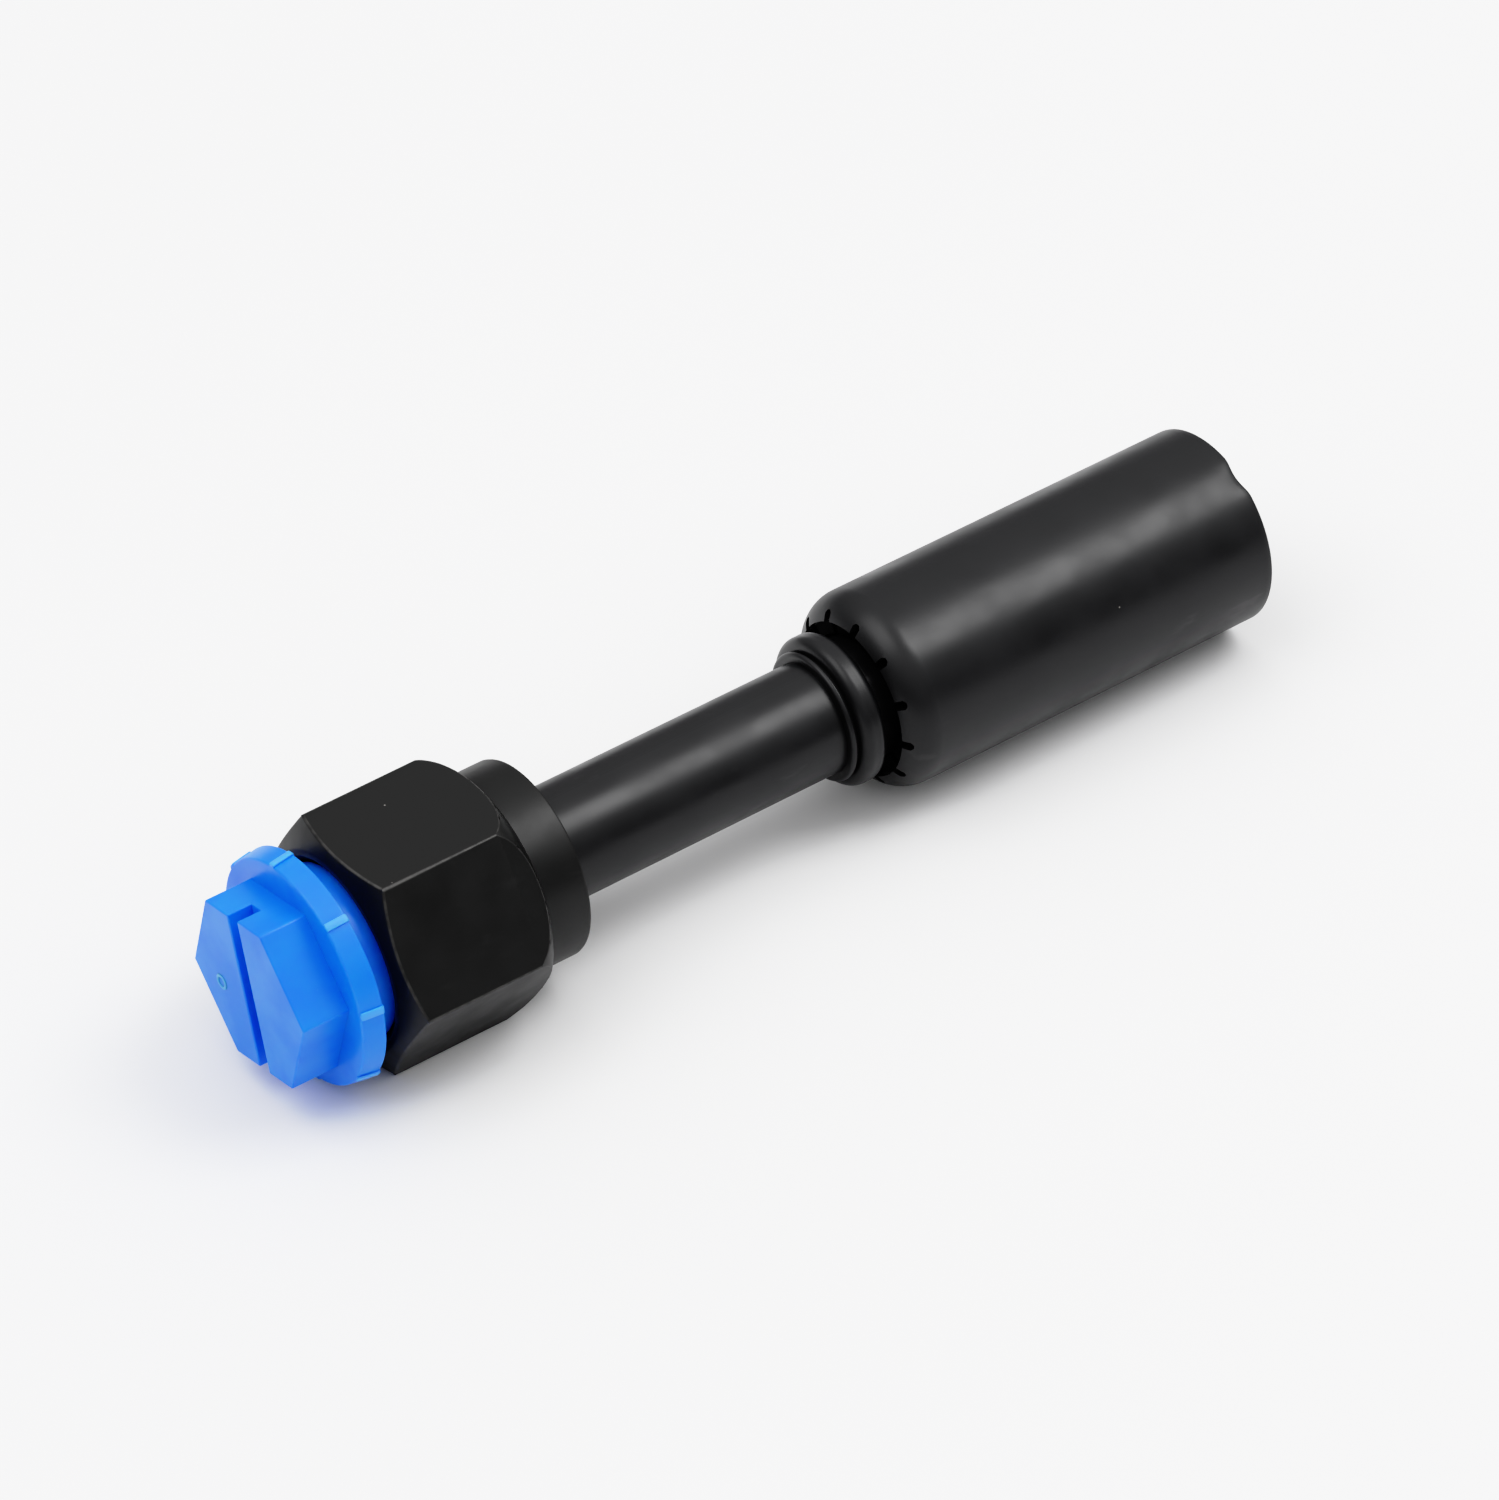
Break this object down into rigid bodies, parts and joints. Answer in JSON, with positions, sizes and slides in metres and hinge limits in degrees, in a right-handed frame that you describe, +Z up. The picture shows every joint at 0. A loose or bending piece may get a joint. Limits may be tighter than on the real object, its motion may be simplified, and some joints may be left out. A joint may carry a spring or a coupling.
{
  "type": "crimp hose fitting",
  "caption": "Straight crimp-on hose end: female swivel nut, steel tube, collared insert and notched crimp sleeve, closed by a blue slotted threaded shipping plug.",
  "frame": {"origin": "on the flow axis, in the plane of the swivel nut's front face", "axes": "+X along the flow axis towards the hose, +Z up with one nut flat facing down, +Y to the side"},
  "size_m": [0.1248, 0.0292, 0.026],
  "materials": {
    "satin_black_steel": "satin black conversion coating with fine rub marks",
    "matt_black_steel": "matt black coating, slightly worn on the edges",
    "green_rubber": "smooth moulded rubber with a trace of oil",
    "blue_plastic": "slightly translucent moulded polyethylene, soft sheen"
  },
  "bodies": {
    "stem": {"connector_tube": "satin_black_steel", "hose_insert": "satin_black_steel", "nose_o_ring": "green_rubber"},
    "nut": {"swivel_nut": "matt_black_steel"},
    "plug": {"shipping_plug": "blue_plastic"},
    "sleeve": {"crimp_sleeve": "satin_black_steel"}
  },
  "joints": [
    {"name": "nut_turn", "type": "hinge", "parent": "stem", "child": "nut", "pos_m": [0.012, 0, 0], "axis": [1, 0, 0], "range_deg": [0, 1710]},
    {"name": "plug_travel", "type": "slide", "parent": "stem", "child": "plug", "axis": [-1, 0, 0], "range_m": [0, 0.00754]},
    {"name": "sleeve_turn", "type": "hinge", "parent": "stem", "child": "sleeve", "pos_m": [0.09, 0, 0], "axis": [1, 0, 0], "continuous": true}
  ],
  "couplings": [
    {"joint": "plug_travel", "follows": "nut_turn", "m_per_rad": 0.00025266}
  ]
}
